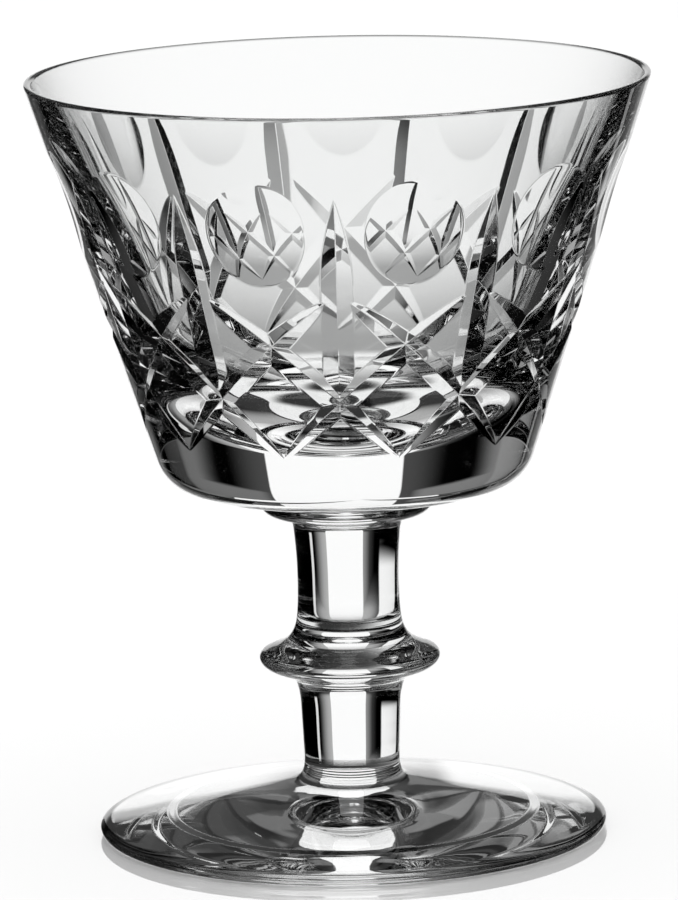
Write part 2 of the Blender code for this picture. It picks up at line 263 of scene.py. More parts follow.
def crystal(name, wave_size, stretch, wave_height, mark_size, haze):
    material = bpy.data.materials.new(name)
    material.use_nodes = True
    nodes, link = material.node_tree.nodes, material.node_tree.links.new
    shader = nodes["Principled BSDF"]
    shader.inputs["Base Color"].default_value = CRYSTAL_COLOUR
    shader.inputs["IOR"].default_value = CRYSTAL_IOR
    shader.inputs["Transmission Weight"].default_value = 1.0
    surface = nodes.new("ShaderNodeGroup")
    surface.node_tree = WORKED_GLASS
    surface.inputs["Wave size"].default_value = wave_size
    surface.inputs["Stretch"].default_value = stretch
    surface.inputs["Mark size"].default_value = mark_size
    bump = nodes.new("ShaderNodeBump")
    bump.inputs["Strength"].default_value = 1.0
    bump.inputs["Distance"].default_value = wave_height
    link(surface.outputs["Ripple"], bump.inputs["Height"])
    link(bump.outputs["Normal"], shader.inputs["Normal"])
    soften = nodes.new("ShaderNodeMapRange")
    soften.inputs["From Min"].default_value = HAZE_STARTS
    soften.inputs["From Max"].default_value = HAZE_FULL
    soften.inputs["To Min"].default_value = POLISH
    soften.inputs["To Max"].default_value = haze
    link(surface.outputs["Haze"], soften.inputs["Value"])
    link(soften.outputs["Result"], shader.inputs["Roughness"])
    ray = nodes.new("ShaderNodeLightPath")
    share = nodes.new("ShaderNodeMath")
    share.operation = "MULTIPLY"
    share.inputs[1].default_value = SHADOW_CLEAR
    link(ray.outputs["Is Shadow Ray"], share.inputs[0])
    clear = nodes.new("ShaderNodeBsdfTransparent")
    mix = nodes.new("ShaderNodeMixShader")
    link(share.outputs[0], mix.inputs["Fac"])
    link(shader.outputs[0], mix.inputs[1])
    link(clear.outputs[0], mix.inputs[2])
    link(mix.outputs[0], nodes["Material Output"].inputs["Surface"])
    return material


BLOWN = crystal("blown_crystal", 0.016, 0.6, 0.00002, 0.003, 0.02)
WHEEL_CUT = crystal("wheel_cut_crystal", 0.003, 1.0, 0.000004, 0.0006, 0.05)
DRAWN = crystal("drawn_crystal", 0.006, 0.4, 0.00001, 0.002, 0.02)
PRESSED = crystal("pressed_crystal", 0.012, 0.5, 0.00009, 0.003, 0.02)
print("finishes:", BLOWN.name, WHEEL_CUT.name, DRAWN.name, PRESSED.name)

# %% [markdown]
# ## Seams
# Two gathers that were fused hot are one glass afterwards: no light is lost between them. The pieces
# still have to be closed, so each ends in a flat face at its seam, and that face is made fully clear.


# %% Fused seam
def fused_seam():
    material = bpy.data.materials.new("fused_seam")
    material.use_nodes = True
    shader = material.node_tree.nodes["Principled BSDF"]
    shader.inputs["Base Color"].default_value = CRYSTAL_COLOUR
    shader.inputs["Alpha"].default_value = 0.0
    return material


FUSED = fused_seam()
print("seam:", FUSED.name)


# %% Finish a piece
def finish_piece(mesh, materials, node):
    """An object for a mesh whose faces say which finish they have; it stands for the solid of that node."""
    mesh.materials.clear()
    for material in materials:
        mesh.materials.append(material)
    finishes = np.empty(len(mesh.polygons), np.int32)
    mesh.attributes["finish"].data.foreach_get("value", finishes)
    mesh.polygons.foreach_set("material_index", finishes)
    mesh.attributes.remove(mesh.attributes["finish"])
    piece = bpy.data.objects.new(node + "_crystal", mesh)
    bpy.context.scene.collection.objects.link(piece)
    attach(piece, "root")
    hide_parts(node)
    print(piece.name, "triangles", len(mesh.polygons), "open edges", open_edges(mesh))
    return piece


# %% [markdown]
# ## Stem, knop and collars
# The stem was drawn from the bowl's base while hot, a knop was squeezed out of it, and the foot was put
# on with a small collar. Seen from the side it is one flowing line. It is drawn once, from the bowl's
# seat down to the foot's edge, and then sliced at the seams, so that the curve runs on across them.

# %% The stem's line
STEM_LINE = (
    (0.01210, 0.04855), (0.01212, 0.04760), (0.01195, 0.04670), (0.01120, 0.04605), (0.00990, 0.04572),
    (0.00875, 0.04548), (0.00805, 0.04500), (0.00772, 0.04430), (0.00747, 0.04220), (0.00725, 0.03900),
    (0.00720, 0.03600), (0.00725, 0.03300), (0.00742, 0.03100), (0.00770, 0.02960), (0.00825, 0.02845),
    (0.00910, 0.02755), (0.01030, 0.02685), (0.01160, 0.02635), (0.01250, 0.02585), (0.01280, 0.02520),
    (0.01260, 0.02450), (0.01190, 0.02385), (0.01060, 0.02330), (0.00920, 0.02280), (0.00830, 0.02230),
    (0.00775, 0.02160), (0.00740, 0.02060), (0.00715, 0.01900), (0.00700, 0.01600), (0.00685, 0.01250),
    (0.00678, 0.01090), (0.00680, 0.01000), (0.00690, 0.00910), (0.00715, 0.00840), (0.00765, 0.00780),
    (0.00850, 0.00740), (0.01000, 0.00700), (0.01250, 0.00645), (0.01800, 0.00530), (0.02400, 0.00410),
    (0.03000, 0.00298), (0.03430, 0.00220),
)
LINE_STEP = 0.00018
STEM_TURNS = np.linspace(0.0, 2.0 * math.pi, 241)

stem_line = smooth_line(STEM_LINE, LINE_STEP)
stem_normals = line_normals(stem_line)


def slice_line(top, bottom):
    """The part of the stem's line between two heights, with its normals."""
    inside = (stem_line[:, 1] < top) & (stem_line[:, 1] > bottom)
    heights = np.concatenate([[top], stem_line[inside, 1], [bottom]])
    columns = np.hstack([stem_line, stem_normals])[::-1]
    sliced = [np.interp(heights, columns[:, 1], columns[:, index]) for index in range(4)]
    return np.stack(sliced[:2], axis=1), np.stack(sliced[2:], axis=1)


print("stem line:", len(stem_line), "points, from", stem_line[0].round(4), "to", stem_line[-1].round(4))

# %% Stem pieces
for node, bottom, top in zip(STACK[1:6], SEAMS, SEAMS[1:]):
    line, normals = slice_line(top, bottom)
    skins = [
        revolve(line, normals, STEM_TURNS, POLISHED),
        flat_disc(line[0, 0], top, True, STEM_TURNS),
        flat_disc(line[-1, 0], bottom, False, STEM_TURNS),
    ]
    mesh = skin_mesh(node, skins)
    use_polish_normals(mesh)
    finish_piece(mesh, (DRAWN, WHEEL_CUT, FUSED), node)

# %% [markdown]
# ## Foot
# The foot is a gather pressed out into a disc. Its top is the end of the stem's line and its edge is
# round. It stands on a flat ring, because the middle was ground away to take off the pontil mark. That
# hollow is shallow and flat here: a deep round one would act as a lens and bend what the foot mirrors.

# %% Foot
EDGE_HEIGHT = 0.0013
REST_OUTER = FOOT_RADIUS - 0.0022
REST_INNER = REST_OUTER - 0.0085
HOLLOW_DEPTH = 0.0004
REST_EASE = 0.0008
EDGE_PIECES = 14

dome, dome_normals = slice_line(SEAMS[0], stem_line[-1, 1])
shoulder = tuple(stem_line[-1])
shoulder_knee = (FOOT_RADIUS - 0.0001, shoulder[1] - 0.0003)
edge = (FOOT_RADIUS, EDGE_HEIGHT)
share = np.linspace(0.0, 1.0, 12)
ease = share**2 * (3 - 2 * share)
under = np.concatenate(
    [
        [shoulder],
        bend(shoulder, shoulder_knee, edge, EDGE_PIECES),
        bend(edge, (FOOT_RADIUS, 0.0), (REST_OUTER, 0.0), EDGE_PIECES),
        np.stack([REST_INNER + REST_EASE * (1 - 2 * share), HOLLOW_DEPTH * ease], axis=1),
        [(REST_INNER - 2.0 * REST_EASE, HOLLOW_DEPTH), (0.0, HOLLOW_DEPTH)],
    ]
)
under_normals = line_normals(under)
under_normals[0] = dome_normals[-1]
skins = [
    flat_disc(dome[0, 0], SEAMS[0], True, STEM_TURNS),
    revolve(dome, dome_normals, STEM_TURNS, POLISHED),
    revolve(under, under_normals, STEM_TURNS, POLISHED),
]
mesh = skin_mesh("foot", skins)
use_polish_normals(mesh)
finish_piece(mesh, (PRESSED, WHEEL_CUT, FUSED), "foot")

# %% [markdown]
# ## The bowl's wall and its cuts
# A cutter holds the blown bowl against a spinning wheel. A V-edged wheel leaves a mitre: upright ones
# that end in a point, and slanting ones that cross under them and meet in a diamond. A crowned wheel
# leaves the shallow thumbprints. Each cut is written as its depth below the plain wall, as a function of
# the turn about the axis and the height. Where cuts overlap, the deepest one is what is left.

# %% The plain wall
RIM_RADIUS = 0.0440
WALL_SLOPE = 0.3229
SLANT = math.hypot(1.0, WALL_SLOPE)
REPEATS = 11
PITCH = 2.0 * math.pi / REPEATS


def wall_radius(height):
    return RIM_RADIUS - WALL_SLOPE * (RIM_HEIGHT - height)


print("wall radius at the seat would be", round(wall_radius(BOWL_SEAT), 4))

# %% Depth of the upright mitres
MITRE_SPREAD = math.tan(math.radians(133.0) / 2.0)
CROSS_HEIGHT = BOWL_SEAT + 0.0262
DIAMOND_TIP = BOWL_SEAT + 0.0100
FALL = CROSS_HEIGHT - DIAMOND_TIP
UPRIGHT_DEPTH = 0.00096
UPRIGHT_TIP = BOWL_SEAT + 0.0479
UPRIGHT_FOOT = (CROSS_HEIGHT + DIAMOND_TIP) / 2.0 + 0.0005
TIP_RUN = 0.012
FOOT_RUN = 0.004
RUN_OUT = 0.002


def upright(turn, height):
    """Depth of the side of the upright cut at turn 0."""
    to_tip = np.clip((UPRIGHT_TIP - height) / TIP_RUN, -1.0, 1.0)
    to_foot = np.clip((height - UPRIGHT_FOOT) / FOOT_RUN, -1.0, 1.0)
    swell = np.sin(np.pi / 2.0 * np.maximum(to_tip, 0.0)) * np.sin(np.pi / 2.0 * np.maximum(to_foot, 0.0))
    valley = UPRIGHT_DEPTH * swell + RUN_OUT * (np.minimum(to_tip, 0.0) + np.minimum(to_foot, 0.0))
    return valley - wall_radius(height) * turn / MITRE_SPREAD


print("upright cut: deepest", upright(0.0, CROSS_HEIGHT + FALL / 2.0).round(5))

# %% Depth of the crossing mitres
CROSSING_DEPTH = 0.00084
CROSSING_START = 0.0016 / wall_radius(CROSS_HEIGHT + FALL / 2.0)
CROSSING_END = 1.5 * PITCH
CROSSING_EASE = math.log(0.5) / math.log(0.4)
CROSSING_BLUNT = 0.7
CROSSING_RUN_OUT = 0.004


def crossing_height(along):
    return CROSS_HEIGHT - FALL * (along / PITCH - 0.5)


def crossing_valley(along):
    share = (along - CROSSING_START) / (CROSSING_END - CROSSING_START)
    inside = CROSSING_DEPTH * np.sin(np.pi * np.clip(share, 0.0, 1.0) ** CROSSING_EASE) ** CROSSING_BLUNT
    return inside + CROSSING_RUN_OUT * (np.minimum(share, 0.0) + np.minimum(1.0 - share, 0.0))


def crossing(fold, side):
    """Depth of one side of a slanting cut; fold says which of the three that pass through half a repeat."""

    def depth(turn, height):
        along, way = ((turn, 1.0), (PITCH - turn, -1.0), (PITCH + turn, 1.0))[fold]
        radius = wall_radius(crossing_height(along))
        steep = -way * FALL * SLANT / (PITCH * radius)
        level = 1.0 / np.sqrt(1.0 + steep**2)
        off_line = (height - crossing_height(along)) * SLANT * level
        nearest = along + way * off_line * steep * level / radius
        return crossing_valley(nearest) - side * off_line / MITRE_SPREAD

    return depth


print("crossing cut: deepest", CROSSING_DEPTH, "falls", round(FALL, 4), "in each repeat")

# %% Depth of the thumbprints
PRINT_HEIGHT = BOWL_SEAT + 0.04275
PRINT_DEPTH = 0.00085
PRINT_ACROSS = 0.028
PRINT_UPRIGHT = 0.035


def thumbprint(turn, height):
    """Depth of the shallow oval halfway between two upright cuts."""
    across = wall_radius(PRINT_HEIGHT) * (turn - PITCH / 2.0)
    up = (height - PRINT_HEIGHT) * SLANT
    return PRINT_DEPTH - across**2 / (2.0 * PRINT_ACROSS) - up**2 / (2.0 * PRINT_UPRIGHT)


def plain(turn, height):
    return 0.0 * (turn + height)


print("thumbprint half width", round(math.sqrt(2.0 * PRINT_ACROSS * PRINT_DEPTH), 4))


# %% All cuts together
EDGE_ROUND = 0.00007


def soft_max(first, second):
    """The larger of two depths, rounded where they are nearly alike."""
    near = np.maximum(EDGE_ROUND - np.abs(first - second), 0.0)
    return np.maximum(first, second) + near**2 / (4.0 * EDGE_ROUND)


def groove(one, other):
    """A whole mitre: the shallower of its two sides, with a slightly round bottom."""
    return lambda turn, height: -soft_max(-one(turn, height), -other(turn, height))


def upright_back(turn, height):
    return upright(-turn, height)


GROOVES = [(upright, upright_back)] + [(crossing(fold, 1.0), crossing(fold, -1.0)) for fold in range(3)]
CUTS = [groove(one, other) for one, other in GROOVES[1:] + GROOVES[:1]] + [thumbprint, plain]


def wall_depth(turn, height):
    """Depth below the plain wall of what all the cuts leave."""
    depth = CUTS[0](turn, height)
    for cut in CUTS[1:]:
        depth = soft_max(depth, cut(turn, height))
    return depth


def deepest(turn, height):
    return np.maximum.reduce([cut(turn, height) for cut in CUTS])


print("cuts in half a repeat:", len(CUTS) - 1)

# %% [markdown]
# ## A sheet with its edges on the creases
# Polished facets meet in crisp creases, which the polish leaves a hair round. A plain grid would turn
# those into saw teeth, so the grid of half a repeat is cut along every crease and along both sides of
# its rounding: each grid edge that crosses one is split exactly there. The other half is a mirror image.

# %% Split triangles at new points
CORNER_REACH = 0.8


def edges_of(triangles):
    pairs = np.concatenate([triangles[:, [0, 1]], triangles[:, [1, 2]], triangles[:, [2, 0]]])
    return np.unique(np.sort(pairs, axis=1), axis=0)


def split(places, triangles, edges, new_places):
    """Puts one new place on each of the given edges and splits the triangles beside them."""
    number = {tuple(edge): len(places) + index for index, edge in enumerate(edges.tolist())}
    result = []
    for corners in triangles.tolist():
        middles = [number.get(tuple(sorted((corners[i], corners[(i + 1) % 3])))) for i in range(3)]
        count = sum(middle is not None for middle in middles)
        if count == 0:
            result.append(corners)
            continue
        turn = next(i for i in range(3) if (middles[i] is None) == (count == 2)) if count < 3 else 0
        a, b, c = corners[turn:] + corners[:turn]
        ab, bc, ca = middles[turn:] + middles[:turn]
        if count == 1:
            result += [[a, ab, c], [ab, b, c]]
        elif count == 2:
            result += [[c, ca, bc], [a, b, bc], [a, bc, ca]]
        else:
            result += [[a, ab, ca], [ab, b, bc], [ca, bc, c], [ab, bc, ca]]
    return np.concatenate([places, new_places]), np.array(result)


def refine(places, triangles, rounds):
    """Halves the triangles in which three or more cuts meet, so that their corner is found."""
    for _ in range(rounds):
        spots = places[triangles].mean(axis=1)
        depths = np.sort([cut(*spots.T) for cut in CUTS], axis=0)
        reach = np.ptp(places[triangles][:, :, 1], axis=1) * CORNER_REACH
        edges = edges_of(triangles[depths[-1] - depths[-3] < reach])
        places, triangles = split(places, triangles, edges, places[edges].mean(axis=1))
    return places, triangles


ONE_TRIANGLE = np.array([[0, 1, 2]])
print("edges of one triangle:", edges_of(ONE_TRIANGLE).tolist())

# %% Cut the sheet along a crease
NEAR_END = 0.02
HALVINGS = 30


def cut_along(places, triangles, difference, shows):
    """Splits the edges where difference changes sign, if the crease shows there."""
    edges = edges_of(triangles)
    start, end = places[edges[:, 0]], places[edges[:, 1]]
    at_start = difference(*start.T)
    crossed = at_start * difference(*end.T) < 0.0
    edges, start, end, at_start = edges[crossed], start[crossed], end[crossed], at_start[crossed]
    low, high = np.zeros(len(edges)), np.ones(len(edges))
    for _ in range(HALVINGS):
        middle = (low + high) / 2.0
        same = difference(*(start + (end - start) * middle[:, None]).T) * at_start > 0.0
        low, high = np.where(same, middle, low), np.where(same, high, middle)
    spots = start + (end - start) * low[:, None]
    keep = (low > NEAR_END) & (low < 1.0 - NEAR_END) & shows(*spots.T)
    return split(places, triangles, edges[keep], spots[keep])


tried = cut_along(np.eye(3)[:, :2], ONE_TRIANGLE, lambda x, y: x - 0.4, lambda x, y: y < 2.0)
print("one triangle cut along a crease:", len(tried[1]), "triangles")

# %% The sheet of half a repeat
SHEET_BOTTOM = BOWL_SEAT + 0.00795
SHEET_TOP = RIM_HEIGHT - 0.0015
COLUMNS = 8
ROWS = 44


def cut_sheet():
    turns = np.linspace(0.0, PITCH / 2.0, COLUMNS + 1)
    heights = np.linspace(SHEET_BOTTOM, SHEET_TOP, ROWS + 1)
    places = np.array([(turn, height) for height in heights for turn in turns])
    triangles = []
    for row in range(ROWS):
        for column in range(COLUMNS):
            a = row * (COLUMNS + 1) + column
            b, c, d = a + 1, a + COLUMNS + 2, a + COLUMNS + 1
            triangles += [(a, b, d), (b, c, d)] if (row + column) % 2 else [(a, b, c), (a, c, d)]
    places, triangles = refine(places, np.array(triangles), 2)
    pairs = GROOVES + [(CUTS[i], CUTS[j]) for i in range(len(CUTS)) for j in range(i)]
    for one, other in pairs:
        for offset in (0.0, -EDGE_ROUND, EDGE_ROUND):
            places, triangles = cut_along(
                places,
                triangles,
                lambda turn, height: one(turn, height) - other(turn, height) - offset,
                lambda turn, height: np.minimum(one(turn, height), other(turn, height))
                > deepest(turn, height) - 1.5 * EDGE_ROUND,
            )
    return places, triangles


sheet_places, sheet_triangles = cut_sheet()
print("sheet:", len(sheet_places), "places,", len(sheet_triangles), "triangles")


# %% Put the sheet on the wall
def wall_point(turn, height, depth):
    """The point that lies depth below the plain wall, square to it."""
    return around(turn, wall_radius(height) - depth / SLANT, height + depth * WALL_SLOPE / SLANT)


def wall_normals(turn, height):
    """Normals of the cut wall, from small steps along it."""
    ways = (1e-6, -1e-6)
    along = [wall_point(turn + way, height, wall_depth(turn + way, height)) for way in ways]
    heights = [height + way * RIM_RADIUS for way in ways]
    up = [wall_point(turn, level, wall_depth(turn, level)) for level in heights]
    normals = np.cross(along[0] - along[1], up[0] - up[1])
    return normals / np.linalg.norm(normals, axis=-1)[..., None]


def sheet_skin():
    turn, height = sheet_places.T
    corners = wall_point(turn, height, wall_depth(turn, height))[sheet_triangles]
    normals = wall_normals(turn, height)[sheet_triangles]
    middle = sheet_places[sheet_triangles].mean(axis=1)
    finish = np.where(deepest(*middle.T) > 0.0, CUT, POLISHED)
    mirror = np.array([-1.0, 1.0, 1.0])
    both = [np.concatenate([part, (part * mirror)[:, ::-1]]) for part in (corners, normals)]
    return both[0], both[1], np.tile(finish, 2)


print("cut faces in a repeat:", int((sheet_skin()[2] == CUT).sum()))

# %% [markdown]
# ## The rest of one repeat
# Above the sheet the wall goes on over the fire-polished lip and down the inside: straight at first, then
# into a round cup, which leaves a thick lens of glass over the seat. Below the sheet a round corner leads
# to the underside and the seat on the collar. These are turned lines again, through one repeat only and
# in the sheet's own columns, so that they weld to it.

# %% Lines inside and under the bowl
LIP_THICKNESS = 0.0011
LIP_ROUND = 0.0006
FLOOR_HEIGHT = BOWL_SEAT + 0.0100
CUP_RADIUS = 0.0310
CORNER_RADIUS = 0.0254
CORNER_HEIGHT = BOWL_SEAT + 0.00185
CORNER_RUN = 0.0042
SEAT_RADIUS = 0.0121


def inside_line():
    """From the middle of the round bottom up the straight inside and over the lip to the sheet's top."""
    lip_start = RIM_HEIGHT - LIP_ROUND
    inner = (wall_radius(lip_start) - LIP_THICKNESS, lip_start)
    outer = (wall_radius(lip_start), lip_start)
    crown = (RIM_RADIUS - LIP_THICKNESS / 2.0, RIM_HEIGHT)
    rise = lip_start - FLOOR_HEIGHT - CUP_RADIUS
    steep = math.atan2(rise, inner[0]) + math.asin(CUP_RADIUS / math.hypot(inner[0], rise))
    turned = np.linspace(0.0, steep, 60)
    cup = np.stack([np.sin(turned), 1.0 - np.cos(turned)], axis=1) * CUP_RADIUS + (0.0, FLOOR_HEIGHT)
    wall = cup[-1] + (np.array(inner) - cup[-1]) * np.linspace(0.0, 1.0, 30)[1:, None]
    parts = [
        cup,
        wall,
        bend(inner, (RIM_RADIUS - LIP_THICKNESS, RIM_HEIGHT), crown, 8),
        bend(crown, (RIM_RADIUS, RIM_HEIGHT), outer, 8),
        np.array([(wall_radius(SHEET_TOP), SHEET_TOP)]),
    ]
    print("inside: round up to", np.round(cup[-1], 5), "then at", round(math.degrees(steep), 1), "degrees")
    return np.concatenate(parts)


def heel_line():
    """From the bottom of the sheet round the corner and along the underside to the seat."""
    corner = np.array([CORNER_RADIUS, CORNER_HEIGHT])
    seat = np.array([SEAT_RADIUS, BOWL_SEAT])
    up_wall = np.array([WALL_SLOPE, 1.0]) / SLANT
    inward = (seat - corner) / np.linalg.norm(seat - corner)
    top, end = corner + up_wall * CORNER_RUN, corner + inward * CORNER_RUN
    start = np.array([wall_radius(SHEET_BOTTOM), SHEET_BOTTOM])
    flat = end + (seat - end) * np.linspace(0.0, 1.0, 12)[1:, None]
    return np.concatenate([[start, (start + top) / 2.0, top], bend(top, corner, end, 24), flat])


inside, heel = inside_line(), heel_line()
print("inside line:", len(inside), "points, heel line:", len(heel), "points")

# %% One repeat of the bowl
half_turns = np.linspace(0.0, PITCH / 2.0, COLUMNS + 1)
repeat_turns = np.concatenate([-half_turns[:0:-1], half_turns])
repeat_mesh = skin_mesh(
    "bowl_repeat",
    [
        sheet_skin(),
        revolve(inside, line_normals(inside), repeat_turns, POLISHED),
        revolve(heel, line_normals(heel), repeat_turns, POLISHED),
        flat_disc(SEAT_RADIUS, BOWL_SEAT, False, repeat_turns),
    ],
)
repeat = bpy.data.objects.new("bowl_repeat", repeat_mesh)
bpy.context.scene.collection.objects.link(repeat)
print("one repeat:", len(repeat_mesh.polygons), "triangles")

# %% [markdown]
# ## Repeat it round the bowl
# The cutter marks the bowl out into eleven equal parts and cuts each alike. Geometry Nodes do the same:
# one point for each part, the repeat placed on it and turned by its share, then everything made real and
# welded into one skin. An Array modifier could do it too, but it would need an empty to turn by.


# %% The tree that repeats
def repeat_tree():
    tree = bpy.data.node_groups.new("repeat_round_axis", "GeometryNodeTree")
    face = tree.interface
    face.new_socket("Geometry", in_out="INPUT", socket_type="NodeSocketGeometry")
    face.new_socket("Repeats", in_out="INPUT", socket_type="NodeSocketInt")
    face.new_socket("Weld distance", in_out="INPUT", socket_type="NodeSocketFloat")
    face.new_socket("Finish", in_out="INPUT", socket_type="NodeSocketMaterial")
    face.new_socket("Geometry", in_out="OUTPUT", socket_type="NodeSocketGeometry")
    nodes, link = tree.nodes, tree.links.new
    given, result = nodes.new("NodeGroupInput"), nodes.new("NodeGroupOutput")
    points = nodes.new("GeometryNodePoints")
    link(given.outputs["Repeats"], points.inputs["Count"])
    share = nodes.new("ShaderNodeMath")
    share.operation = "DIVIDE"
    share.inputs[0].default_value = 2.0 * math.pi
    link(given.outputs["Repeats"], share.inputs[1])
    turn = nodes.new("ShaderNodeMath")
    turn.operation = "MULTIPLY"
    link(nodes.new("GeometryNodeInputIndex").outputs[0], turn.inputs[0])
    link(share.outputs[0], turn.inputs[1])
    axis = nodes.new("ShaderNodeCombineXYZ")
    link(turn.outputs[0], axis.inputs["Z"])
    place = nodes.new("GeometryNodeInstanceOnPoints")
    link(points.outputs[0], place.inputs["Points"])
    link(given.outputs["Geometry"], place.inputs["Instance"])
    link(axis.outputs[0], place.inputs["Rotation"])
    real = nodes.new("GeometryNodeRealizeInstances")
    link(place.outputs[0], real.inputs[0])
    merge = nodes.new("GeometryNodeMergeByDistance")
    link(real.outputs[0], merge.inputs["Geometry"])
    link(given.outputs["Weld distance"], merge.inputs["Distance"])
    paint = nodes.new("GeometryNodeSetMaterial")
    link(merge.outputs[0], paint.inputs["Geometry"])
    link(given.outputs["Finish"], paint.inputs["Material"])
    link(paint.outputs[0], result.inputs["Geometry"])
    return tree


REPEAT_TREE = repeat_tree()
print("tree:", REPEAT_TREE.name, [item.name for item in REPEAT_TREE.interface.items_tree])


# %% Bowl
def set_input(modifier, label, value):
    sockets = modifier.node_group.interface.items_tree
    modifier[next(s.identifier for s in sockets if s.name == label and s.in_out == "INPUT")] = value


repeating = repeat.modifiers.new("repeat", "NODES")
repeating.node_group = REPEAT_TREE
set_input(repeating, "Repeats", REPEATS)
set_input(repeating, "Weld distance", 1e-6)
set_input(repeating, "Finish", BLOWN)
graph = bpy.context.evaluated_depsgraph_get()
bowl_mesh = bpy.data.meshes.new_from_object(repeat.evaluated_get(graph))
repeat.modifiers.remove(repeating)
bpy.data.objects.remove(repeat)
centres = np.empty(len(bowl_mesh.polygons) * 3, np.float32)
bowl_mesh.polygons.foreach_get("center", centres)
east, north = centres.reshape(-1, 3)[:, 0], centres.reshape(-1, 3)[:, 1]
use_polish_normals(bowl_mesh, np.round(np.arctan2(east, -north) / PITCH) * PITCH)
finish_piece(bowl_mesh, (BLOWN, WHEEL_CUT, FUSED), "bowl")

# %% [markdown]
# ## The studio
# Glass has no look of its own: it shows what stands round it. Here that is a white card behind it, greyer
# ones below and beside it, and dark felt between them, which draws the edges black. Real cards and lamps
# could do it, but they would show in the picture. So the world paints the cards by direction, and only
# for rays that come through or off the glass. The camera and the table see plain white.

# %% Cards round the glass
# Turn from +Y towards +X, half width, its soft edge, lowest and highest slope, their soft edge, level.
CARDS = (
    (1.4, 14.4, 0.5, -16.0, 90.0, 44.0, 1.08),
    (4.0, 10.0, 15.0, -30.0, 0.0, 12.0, 0.50),
    (1.4, 14.0, 12.0, -30.0, 90.0, 12.0, 0.07),
    (32.5, 1.2, 0.8, -30.0, -2.0, 4.0, 0.80),
    (1.4, 16.0, 18.0, -50.0, -20.0, 10.0, 0.45),
    (0.0, 180.0, 0.0, -90.0, -50.0, 15.0, 0.04),
    (33.0, 13.0, 6.0, 17.0, 34.0, 3.0, 0.18),
    (68.0, 22.0, 6.0, 12.0, 30.0, 4.0, 0.06),
    (-33.0, 13.0, 6.0, 17.0, 34.0, 3.0, 0.22),
    (-65.0, 19.0, 6.0, 12.0, 30.0, 4.0, 0.30),
)
print("cards:", len(CARDS))

# %% [markdown]
# Someone who walks round the glass looks through it at other parts of the studio. These white cards
# stand there. Only rays that no surface has mirrored see them, so they stay out of the glints in the
# cuts.

# %% Cards for the other sides
SIDE_CARDS = (
    (-45.0, 14.4, 2.0, -64.0, -10.0, 5.0, 1.0),
    (-90.0, 14.4, 2.0, -16.0, 8.0, 5.0, 1.0),
    (135.0, 16.0, 2.0, -50.0, 20.0, 8.0, 1.0),
)
print("cards for the other sides:", len(SIDE_CARDS))

# %% [markdown]
# A node tree in a script is mostly wiring. Three small helpers make the nodes that are needed most: one
# for sums, one for vectors and one for a soft step from 0 to 1.


# %% Nodes in a few words
def math_node(tree, operation, first, second):
    node = tree.nodes.new("ShaderNodeMath")
    node.operation = operation
    for socket, value in zip(node.inputs, (first, second)):
        if isinstance(value, float):
            socket.default_value = value
        else:
            tree.links.new(value, socket)
    return node.outputs[0]


def vector_node(tree, operation, first, second=(0.0, 0.0, 0.0)):
    node = tree.nodes.new("ShaderNodeVectorMath")
    node.operation = operation
    tree.links.new(first, node.inputs[0])
    node.inputs[1].default_value = second
    return node.outputs["Value" if operation == "DOT_PRODUCT" else "Vector"]


def between(tree, value, none, full, least=0.0):
    node = tree.nodes.new("ShaderNodeMapRange")
    node.interpolation_type = "SMOOTHSTEP"
    node.inputs["From Min"].default_value = none
    node.inputs["From Max"].default_value = full
    node.inputs["To Min"].default_value = least
    tree.links.new(value, node.inputs["Value"])
    return node.outputs["Result"]


def sine(degrees):
    return math.sin(math.radians(degrees))


def cosine(degrees):
    return math.cos(math.radians(degrees))


print("half a right angle:", round(sine(45.0), 4), round(cosine(45.0), 4))


# %% Light from the cards
def card_light(tree, level_way, slope, cards):
    """The brightest card in the direction whose level part and slope are given."""
    light = None
    for turn, half, soft, low, high, slope_soft, level in cards:
        mask = 1.0
        if half < 180.0:
            facing = vector_node(tree, "DOT_PRODUCT", level_way, (sine(turn), cosine(turn), 0.0))
            mask = between(tree, facing, cosine(half + soft), cosine(half))
        if low > -90.0:
            above = between(tree, slope, sine(low - slope_soft), sine(low))
            mask = math_node(tree, "MULTIPLY", mask, above)
        if high < 90.0:
            below = between(tree, slope, sine(high + slope_soft), sine(high))
            mask = math_node(tree, "MULTIPLY", mask, below)
        card = math_node(tree, "MULTIPLY", mask, level)
        light = card if light is None else math_node(tree, "MAXIMUM", light, card)
    return light


print("white card behind the glass:", 2.0 * CARDS[0][1], "degrees wide")

# %% [markdown]
# The last step joins them. Light Path tells which rays come through the glass, and which were mirrored
# by it: the table's coat is a perfect mirror, so its rays count as singular, and the glass keeps a trace
# of roughness, so its rays don't. A high card mirrored in the glass is dimmed, as a polarising filter on
# the lens would do.

# %% World
GLARE = 0.12
GLARE_LOW = 8.0
GLARE_HIGH = 12.0


